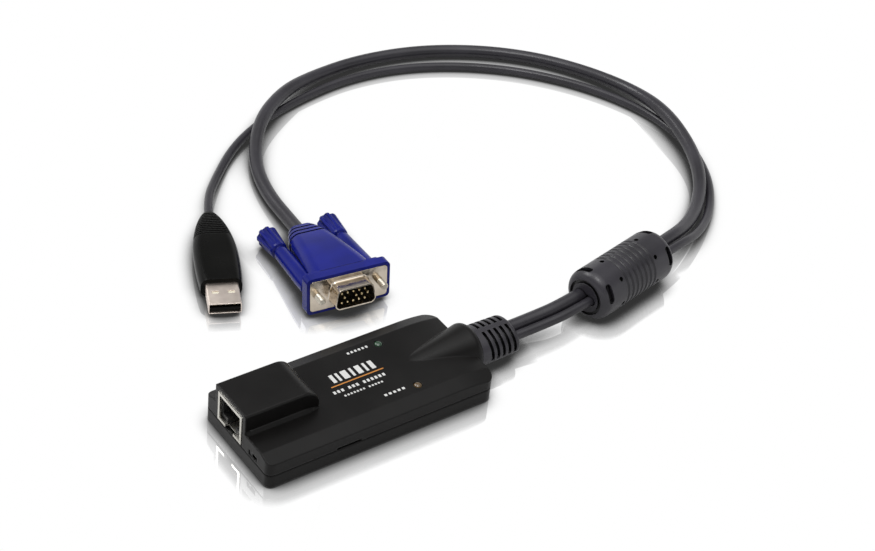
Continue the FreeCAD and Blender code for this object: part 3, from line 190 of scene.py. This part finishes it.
class Surface:
    """A node material on one Principled shader, with short ways to add texture to it."""

    def __init__(self, name, roughness, **sockets):
        self.material = bpy.data.materials.new(name)
        self.material.use_nodes = True
        self.tree = self.material.node_tree
        self.shader = self.tree.nodes["Principled BSDF"]
        self.shader.inputs["Roughness"].default_value = roughness
        for socket, value in sockets.items():
            self.shader.inputs[socket.replace("_", " ")].default_value = value
        self.place = self.node("ShaderNodeTexCoord").outputs["Object"]
        self.bumped = None

    def soften(self, radius):
        """Edges catch light as if they were rounded."""
        rounded = self.node("ShaderNodeBevel", samples=6)
        rounded.inputs["Radius"].default_value = radius
        self.bumped = rounded.outputs["Normal"]
        self.link(self.bumped, self.shader.inputs["Normal"])

    def node(self, kind, **settings):
        made = self.tree.nodes.new(kind)
        for key, value in settings.items():
            setattr(made, key, value)
        return made

    def link(self, out, into):
        self.tree.links.new(out, into)

    def noise(self, scale, detail=3.0, stretch=None):
        texture = self.node("ShaderNodeTexNoise")
        texture.inputs["Scale"].default_value = scale
        texture.inputs["Detail"].default_value = detail
        place = self.place
        if stretch is not None:
            mapping = self.node("ShaderNodeMapping")
            mapping.inputs["Scale"].default_value = stretch
            self.link(place, mapping.inputs["Vector"])
            place = mapping.outputs["Vector"]
        self.link(place, texture.inputs["Vector"])
        return texture.outputs["Fac"]

    def ramp(self, fac, low, high, start=0.35, end=0.65):
        """A colour that runs from low to high as fac passes from start to end."""
        blend = self.node("ShaderNodeValToRGB")
        blend.color_ramp.elements[0].position = start
        blend.color_ramp.elements[0].color = (*low, 1.0)
        blend.color_ramp.elements[1].position = end
        blend.color_ramp.elements[1].color = (*high, 1.0)
        self.link(fac, blend.inputs["Fac"])
        return blend.outputs["Color"]

    def spread(self, fac, low, high):
        """A number that runs from low to high as fac passes from 0.3 to 0.7."""
        scaled = self.node("ShaderNodeMapRange")
        set_range(scaled, 0.3, 0.7, low, high)
        self.link(fac, scaled.inputs["Value"])
        return scaled.outputs["Result"]

    def colour(self, low, high, scale):
        self.link(self.ramp(self.noise(scale), low, high), self.shader.inputs["Base Color"])

    def painted_groove_shade(self, distance, least):
        """Painted shade: the colour falls to its share least in grooves and slots narrower than the
        distance.
        """
        inside = self.node("ShaderNodeAmbientOcclusion", samples=6, only_local=True)
        inside.inputs["Distance"].default_value = distance
        share = self.node("ShaderNodeMapRange")
        set_range(share, 0.40, 0.96, least, 1.0)
        self.link(inside.outputs["AO"], share.inputs["Value"])
        base = self.shader.inputs["Base Color"]
        colour = base.links[0].from_socket
        shaded = self.node("ShaderNodeVectorMath", operation="SCALE")
        self.link(colour, shaded.inputs[0])
        self.link(share.outputs["Result"], shaded.inputs["Scale"])
        self.link(shaded.outputs[0], base)

    def sheen_of(self, low, high, scale):
        """Roughness that varies over the surface."""
        self.link(self.spread(self.noise(scale), low, high), self.shader.inputs["Roughness"])

    def bump(self, height, depth, strength=1.0):
        """Depth is the height of the relief in metres where height goes from 0 to 1."""
        relief = self.node("ShaderNodeBump")
        relief.inputs["Distance"].default_value = depth
        relief.inputs["Strength"].default_value = strength
        self.link(height, relief.inputs["Height"])
        if self.bumped is not None:
            self.link(self.bumped, relief.inputs["Normal"])
        self.bumped = relief.outputs["Normal"]
        self.link(self.bumped, self.shader.inputs["Normal"])


GROOVE_SHADE_SHARE = 0.08     # the share of a moulding's colour that the painted shade leaves at the bottom of its grooves


def moulded(name, low, high, roughness, grain=2600.0, depth=0.00003, edge=0.00035, painted_groove_shade=0.0,
            **sockets):
    """Moulded plastic: soft edges, a fine spark-eroded grain, slightly uneven colour and gloss, and painted
    shade in narrow grooves when a groove distance is given.
    """
    made = Surface(name, roughness, **sockets)
    made.colour(low, high, 60.0)
    # painted shade: ambient occlusion darkens the base colour in grooves and slots
    if painted_groove_shade:
        made.painted_groove_shade(painted_groove_shade, GROOVE_SHADE_SHARE)
    made.sheen_of(roughness - 0.04, roughness + 0.05, 35.0)
    made.soften(edge)
    made.bump(made.noise(grain, 2.0), depth, 0.5)
    return made.material


def plated(name, low, high, roughness, edge=0.0002, waves=0.0, **sockets):
    """Plated sheet metal with faint drawing marks."""
    made = Surface(name, roughness, Metallic=1.0, **sockets)
    made.colour(low, high, 180.0)
    made.sheen_of(roughness - 0.05, roughness + 0.08, 90.0)
    if edge:
        made.soften(edge)
    made.bump(made.noise(900.0, 2.0, stretch=(1.0, 1.0, 6.0)), 0.000008, 0.4)
    if waves:
        made.bump(made.noise(330.0, 1.0), waves, 0.8)
    return made.material


MATERIALS = {
    "black_shell": moulded("black_shell", (0.0034, 0.0031, 0.0030), (0.0058, 0.0054, 0.0052), 0.33,
                           depth=0.000022, edge=0.0008, Specular_IOR_Level=0.18),
    "screw_steel": plated("screw_steel", (0.40, 0.40, 0.41), (0.52, 0.52, 0.53), 0.35),
    "board_green": moulded("board_green", (0.01, 0.10, 0.04), (0.015, 0.13, 0.05), 0.40),
    "chip_black": moulded("chip_black", (0.006, 0.006, 0.006), (0.012, 0.012, 0.012), 0.55),
    "tin": plated("tin", (0.66, 0.64, 0.58), (0.78, 0.76, 0.70), 0.30, edge=0.0),
    "gold": plated("gold", (0.78, 0.62, 0.34), (0.90, 0.76, 0.46), 0.20),
    "green_lens": moulded("green_lens", (0.004, 0.035, 0.012), (0.006, 0.055, 0.018), 0.12, grain=500.0,
                          depth=0.000002, Coat_Weight=0.6),
    "amber_lens": moulded("amber_lens", (0.055, 0.030, 0.005), (0.08, 0.042, 0.007), 0.12, grain=500.0,
                          depth=0.000002, Coat_Weight=0.6),
    "knob_plastic": moulded("knob_plastic", (0.012, 0.012, 0.013), (0.02, 0.02, 0.022), 0.45),
    # painted shade darkens this grey in narrow grooves, such as the ferrite's
    "cable_grey": moulded("cable_grey", (0.017, 0.0158, 0.0200), (0.027, 0.0252, 0.0315), 0.32,
                          grain=1500.0, painted_groove_shade=0.0026, Specular_IOR_Level=0.42),
    "ferrite": moulded("ferrite", (0.02, 0.02, 0.02), (0.035, 0.035, 0.035), 0.6),
    # painted shade darkens this black in the grip's narrow grooves and slots
    "grip_black": moulded("grip_black", (0.0015, 0.0015, 0.0013), (0.0032, 0.0032, 0.0028), 0.28,
                          depth=0.00002, painted_groove_shade=0.0016, Specular_IOR_Level=0.10),
    "nickel": plated("nickel", (0.66, 0.58, 0.48), (0.80, 0.71, 0.60), 0.16, waves=0.00012),
    # the USB shell's nickel: rougher than the plug's, and painted lighter to stand in for the brighter
    # light on the shell
    "usb_nickel_painted_lighter": plated("usb_nickel_painted_lighter", (0.80, 0.70, 0.63), (0.90, 0.80, 0.72), 0.30),
    # painted shade darkens this blue in the thumbscrews' flutes and other narrow grooves
    "blue_plastic": moulded("blue_plastic", (0.0030, 0.0068, 0.125), (0.0055, 0.010, 0.180), 0.22,
                            edge=0.0002, painted_groove_shade=0.0018, Specular_IOR_Level=0.20),
    "thumb_steel": plated("thumb_steel", (0.60, 0.55, 0.46), (0.72, 0.67, 0.57), 0.24),
    "white_print": moulded("white_print", (0.50, 0.50, 0.49), (0.60, 0.60, 0.59), 0.5, grain=900.0,
                           depth=0.00001),
    # a painted highlight: the pale colour of the plates under the USB shell's windows
    "window_glint_paint": moulded("window_glint_paint", (0.66, 0.62, 0.50), (0.74, 0.70, 0.58), 0.4),
    "orange_print": moulded("orange_print", (0.42, 0.16, 0.02), (0.50, 0.19, 0.025), 0.5, grain=900.0,
                            depth=0.00001),
}


def dress(obj, material):
    obj.data.materials.clear()
    obj.data.materials.append(material)


for entry in frame["record"]["subparts"]:
    dress(NODES[entry["node"]], MATERIALS[entry["material_slot"]])
# the USB shell takes the copy of the nickel that is painted lighter
dress(NODES["usb_shell"], MATERIALS["usb_nickel_painted_lighter"])
for obj in (vga_cable, usb_cable):
    dress(obj, MATERIALS["cable_grey"])

# ---------------------------------------------------------------- pieces of the scene's own


def mesh_piece(name, points, faces, body, material, smooth=False):
    """A mesh object that rides on a body; points in metres in the row frame."""
    mesh = bpy.data.meshes.new(name)
    mesh.from_pydata([tuple(p) for p in points], [], faces)
    mesh.validate()
    mesh.materials.append(MATERIALS[material])
    for face in mesh.polygons:
        face.use_smooth = smooth
    obj = bpy.data.objects.new(name, mesh)
    bpy.context.collection.objects.link(obj)
    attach(obj, body)
    return obj


def skin(rows, count):
    """The faces of a closed tube made of rows of count points each, with a cap at both ends."""
    faces = []
    for row in range(rows - 1):
        for n in range(count):
            a, b = row * count + n, row * count + (n + 1) % count
            faces.append((a, b, b + count, a + count))
    faces.append(tuple(range(count))[::-1])
    faces.append(tuple(range((rows - 1) * count, rows * count)))
    return faces


def turned(name, own, profile, count, body, material):
    """A smooth lathe form: profile gives (x, radius) along the frame's own X, in millimetres."""
    points = []
    for x, radius in profile:
        for n in range(count):
            angle = 2 * math.pi * n / count
            points.append(on(own, x, radius * math.cos(angle), radius * math.sin(angle)))
    return mesh_piece(name, points, skin(len(profile), count), body, material, smooth=True)


# Printed marks on the flat top, as plain bars: left, low, length and height, in millimetres.
LAMP_PROUD = 0.5        # the lamps over the flat top
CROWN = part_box("online_led")[1][2] / MM - LAMP_PROUD


def bars(left, right, low, tall, dash, gap, breaks=()):
    """A row of dashes from left to right, with wider gaps after the dashes numbered in breaks."""
    made, x, n = [], left, 0
    while x + dash <= right + 0.01:
        made.append((x, low, dash, tall))
        n += 1
        x += dash + gap * (3.0 if n in breaks else 1.0)
    return made


PRINT_RISE = 0.03       # the print's plane over the flat top, in millimetres
PRINT_ROUND = 0.12      # its corners


def print_piece(name, rows, material):
    """Flat bars with rounded corners, each one face."""
    points, faces = [], []
    for left, low, long, tall in rows:
        first = len(points)
        for cx, cy, start in ((left + long, low + tall, 0), (left, low + tall, 90), (left, low, 180),
                              (left + long, low, 270)):
            inward_x = -PRINT_ROUND if cx > left else PRINT_ROUND
            inward_y = -PRINT_ROUND if cy > low else PRINT_ROUND
            for step in (0, 45, 90):
                angle = math.radians(start + step)
                points.append(Vector((cx + inward_x + PRINT_ROUND * math.cos(angle),
                                      cy + inward_y + PRINT_ROUND * math.sin(angle),
                                      CROWN + PRINT_RISE)) * MM)
        faces.append(tuple(range(first, len(points))))
    return mesh_piece(name, points, faces, ROOT, material)


WHITE_BARS = [(left, 2.1, long, 4.2) for left, long in ((-6.4, 1.4), (-4.0, 1.0), (-1.9, 2.3), (1.6, 1.0),
                                                       (3.8, 2.0), (7.0, 1.0), (9.2, 1.7))]
WHITE_BARS += bars(-9.4, 12.4, -2.8, 1.4, 0.95, 0.63, breaks=(3, 6))
WHITE_BARS += bars(-6.8, 9.2, -5.4, 0.85, 0.72, 0.53, breaks=(7,))
WHITE_BARS += bars(5.7, 14.7, 12.4, 1.05, 0.85, 0.66)
WHITE_BARS += bars(5.2, 14.0, -11.9, 1.05, 1.05, 0.75)
print_piece("white_marks", WHITE_BARS, "white_print")
print_piece("orange_rule", [(-8.6, 0.42, 21.3, 0.5)], "orange_print")


def lens(name, node, material):
    """A lamp with a smooth dome, in place of its faceted solid: a flange, a barrel and the dome."""
    flange, flange_high, dome, dome_high = 1.9, 3.5, 1.5, 0.95
    low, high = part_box(node)
    middle = Vector(((low[0] + high[0]) / 2, (low[1] + high[1]) / 2, 0.0))
    own = Matrix.Translation(middle) @ Matrix.Rotation(math.radians(-90), 4, "Y")
    foot, top = low[2] / MM, high[2] / MM
    profile = [(foot, flange - 0.05), (foot + 0.1, flange), (top - flange_high, flange),
               (top - flange_high + 0.1, dome), (top - dome_high, dome)]
    profile += [(top - dome_high + dome_high * math.sin(math.radians(t)), dome * math.cos(math.radians(t)))
                for t in range(12, 85, 12)]
    piece = turned(name, own, profile, 40, ROOT, material)
    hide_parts(node)


def usb_window_backs():
    """Pale plates just under the two windows of the USB shell: a painted highlight that stands in for the
    glints in the windows.
    """
    corners = ((-8.3, -1.6), (-4.7, -1.6), (-4.7, 1.6), (-8.3, 1.6))
    apart, top, bottom = 2.9, 1.86, 1.70
    box = ((0, 1, 2, 3), (7, 6, 5, 4), (0, 4, 5, 1), (1, 5, 6, 2), (2, 6, 7, 3), (3, 7, 4, 0))
    points, faces = [], []
    for side in (-1, 1):
        first = len(points)
        for z in (top, bottom):
            points += [on(USB, x, side * apart + y, z) for x, y in corners]
        faces += [tuple(first + n for n in row) for row in box]
    return mesh_piece("usb_window_backs", points, faces, ROOT, "window_glint_paint")


# The raised housing over the network socket: half its width and its length, in millimetres.
SOCKET_HALF = 9.6
SOCKET_LONG = 29.0
SUNK = 0.15             # how far the fillet reaches into the walls that it joins
ABOVE_ALL = 40.0        # where the rays that find the deck start


def socket_fillet(radius=1.3, steps=8, stations=12):
    """The moulded fillet along the foot of the socket housing, on the side that the camera sees."""
    cover = NODES["top_cover"]
    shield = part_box("jack_shield")
    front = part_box("top_cover")[0][0] / MM
    side = (shield[0][1] + shield[1][1]) / 2 / MM - SOCKET_HALF
    into = cover.matrix_world.inverted()
    down = into.to_3x3() @ Vector((0.0, 0.0, -1.0))
    points = []
    for station in range(stations):
        x = front + 0.5 + (SOCKET_LONG - 0.8) * station / (stations - 1)
        above = into @ (Vector((x, side - radius, ABOVE_ALL)) * MM)
        deck = (cover.matrix_world @ cover.ray_cast(above, down)[1]).z / MM
        taper = radius * min(1.0, 0.25 + (stations - 1 - station) * 0.5)
        section = [(side + SUNK, deck - SUNK), (side - taper, deck - SUNK)]
        for step in range(steps + 1):
            angle = math.radians(-90.0 + 90.0 * step / steps)
            section.append((side - taper + taper * math.cos(angle), deck + taper + taper * math.sin(angle)))
        section.append((side + SUNK, deck + taper))
        points += [Vector((x, y, z)) * MM for y, z in section]
    piece = mesh_piece("socket_fillet", points, skin(stations, len(section)), ROOT, "black_shell",
                       smooth=True)


socket_fillet()
usb_window_backs()
lens("online_lens", "online_led", "green_lens")
lens("power_lens", "power_led", "amber_lens")


SCREWS_APART = 25.0


def threaded(name, node, side, body):
    """A thumbscrew's steel with its thread cut as a helix, in place of its plain solid."""
    own = VGA @ Matrix.Translation(Vector((0.0, side * SCREWS_APART / 2, 0.0)) * MM)
    pitch, depth, tip, tip_taper, run_out = 0.635, 0.3, 1.42, 0.55, 0.5
    neck, rear, bevel = 1.15, -21.0, 0.1
    start, end, step, count = 0.2, 4.6, 0.08, 36
    stations = [rear, rear + bevel, 0.0, start - 0.02]
    stations += [start + step * n for n in range(int((end - start) / step) + 1)]
    points = []
    for x in stations:
        for n in range(count):
            angle = 2 * math.pi * n / count
            if x < start:
                radius = neck - bevel if x == rear else neck
            else:
                phase = ((x - start) / pitch - n / count) % 1.0
                cut = depth * abs(2.0 * phase - 1.0)
                lead = min(1.0, (end - x) / run_out)
                radius = min(tip - cut, tip - tip_taper + tip_taper * lead)
            points.append(on(own, x, radius * math.cos(angle), radius * math.sin(angle)))
    piece = mesh_piece(name, points, skin(len(stations), count), body, "thumb_steel")
    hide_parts(node)


threaded("left_screw_thread", "left_thumb_screw", -1, "left_thumbscrew")
threaded("right_screw_thread", "right_thumb_screw", 1, "right_thumbscrew")

# ---------------------------------------------------------------- the cords' facts

round(curve_length(vga_cable), 4)
round(curve_length(usb_cable), 4)

# ---------------------------------------------------------------- surface, backdrop and light


def make_floor():
    """A glossy surface: white to the camera, with a narrow soft shadow and a faint mirror image.

    Other rays meet a plain grey, so that it throws little light back at the object."""
    half, shadow_reach = 4.0, 0.009
    mesh = bpy.data.meshes.new("floor")
    corners = [(-half, -half), (half, -half), (half, half), (-half, half)]
    mesh.from_pydata([(x, y, -0.00005) for x, y in corners], [], [(0, 1, 2, 3)])
    floor = bpy.data.objects.new("floor", mesh)
    bpy.context.collection.objects.link(floor)
    surface = Surface("floor", 0.6)
    surface.shader.inputs["Base Color"].default_value = (0.6, 0.6, 0.6, 1.0)
    surface.shader.inputs["Specular IOR Level"].default_value = 0.0
    near = surface.node("ShaderNodeAmbientOcclusion", samples=24)
    near.inputs["Distance"].default_value = shadow_reach
    close = surface.node("ShaderNodeAmbientOcclusion", samples=24)
    close.inputs["Distance"].default_value = shadow_reach
    open_share = surface.node("ShaderNodeMapRange", interpolation_type="SMOOTHSTEP")
    set_range(open_share, 0.40, 0.93, 0.05, 1.0)
    surface.link(close.outputs["AO"], open_share.inputs["Value"])
    lift = surface.node("ShaderNodeEmission")
    surface.link(open_share.outputs["Result"], lift.inputs["Strength"])
    mirror = surface.node("ShaderNodeBsdfGlossy")
    mirror.inputs["Roughness"].default_value = 0.0
    surface.link(open_share.outputs["Result"], mirror.inputs["Color"])
    seen = surface.node("ShaderNodeMixShader")
    share = surface.node("ShaderNodeMapRange", interpolation_type="SMOOTHSTEP")
    set_range(share, 0.93, 1.0, 0.36, 0.0)
    surface.link(near.outputs["AO"], share.inputs["Value"])
    surface.link(share.outputs["Result"], seen.inputs["Fac"])
    surface.link(lift.outputs[0], seen.inputs[1])
    surface.link(mirror.outputs[0], seen.inputs[2])
    path = surface.node("ShaderNodeLightPath")
    chosen = surface.node("ShaderNodeMixShader")
    surface.link(path.outputs["Is Camera Ray"], chosen.inputs["Fac"])
    surface.link(surface.shader.outputs[0], chosen.inputs[1])
    surface.link(seen.outputs[0], chosen.inputs[2])
    surface.link(chosen.outputs[0], surface.tree.nodes["Material Output"].inputs["Surface"])
    mesh.materials.append(surface.material)


def make_world(horizon, low, high):
    """A studio: a pale backdrop all round, dimmer above it, and a soft bright ceiling.

    It is plain white to the camera and to perfect mirrors, such as the floor's image. Every other
    ray, those that the plated metal reflects among them, meets the studio."""
    world = bpy.data.worlds.new("studio")
    bpy.context.scene.world = world
    world.use_nodes = True
    nodes, links = world.node_tree.nodes, world.node_tree.links
    ground = nodes["Background"]
    place = nodes.new("ShaderNodeTexCoord")
    parts = nodes.new("ShaderNodeSeparateXYZ")
    links.new(place.outputs["Generated"], parts.inputs[0])
    both = nodes.new("ShaderNodeMath")
    both.operation = "ADD"
    for slot, limits in enumerate(((0.66, 0.96, 0.0, high - low), (0.25, 0.50, horizon, low))):
        rise = nodes.new("ShaderNodeMapRange")
        rise.interpolation_type = "SMOOTHSTEP"
        set_range(rise, *limits)
        links.new(parts.outputs["Z"], rise.inputs["Value"])
        links.new(rise.outputs["Result"], both.inputs[slot])
    links.new(both.outputs[0], ground.inputs["Strength"])
    ground.inputs["Color"].default_value = (1.0, 1.0, 1.0, 1.0)
    white = nodes.new("ShaderNodeBackground")
    white.inputs["Strength"].default_value = 1.0
    white.inputs["Color"].default_value = (1.0, 1.0, 1.0, 1.0)
    path = nodes.new("ShaderNodeLightPath")
    either = nodes.new("ShaderNodeMath")
    either.operation = "MAXIMUM"
    mix = nodes.new("ShaderNodeMixShader")
    links.new(path.outputs["Is Camera Ray"], either.inputs[0])
    links.new(path.outputs["Is Singular Ray"], either.inputs[1])
    links.new(either.outputs[0], mix.inputs["Fac"])
    links.new(ground.outputs[0], mix.inputs[1])
    links.new(white.outputs[0], mix.inputs[2])
    links.new(mix.outputs[0], nodes["World Output"].inputs["Surface"])


def make_lamp(name, spot, aim, size, power):
    data = bpy.data.lights.new(name, "AREA")
    data.size = size
    data.energy = power
    lamp = bpy.data.objects.new(name, data)
    lamp.location = spot
    lamp.rotation_euler = (Vector(aim) - Vector(spot)).to_track_quat("-Z", "Y").to_euler()
    bpy.context.collection.objects.link(lamp)


make_floor()
make_world(horizon=0.9, low=0.34, high=1.7)
MIDDLE = (0.07, 0.06, 0.0)
make_lamp("key", (-0.40, 0.85, 0.95), MIDDLE, 0.45, 6.0)
make_lamp("fill", (-0.15, -0.10, 1.25), MIDDLE, 0.40, 4.0)

bpy.context.scene.view_settings.view_transform = "Standard"
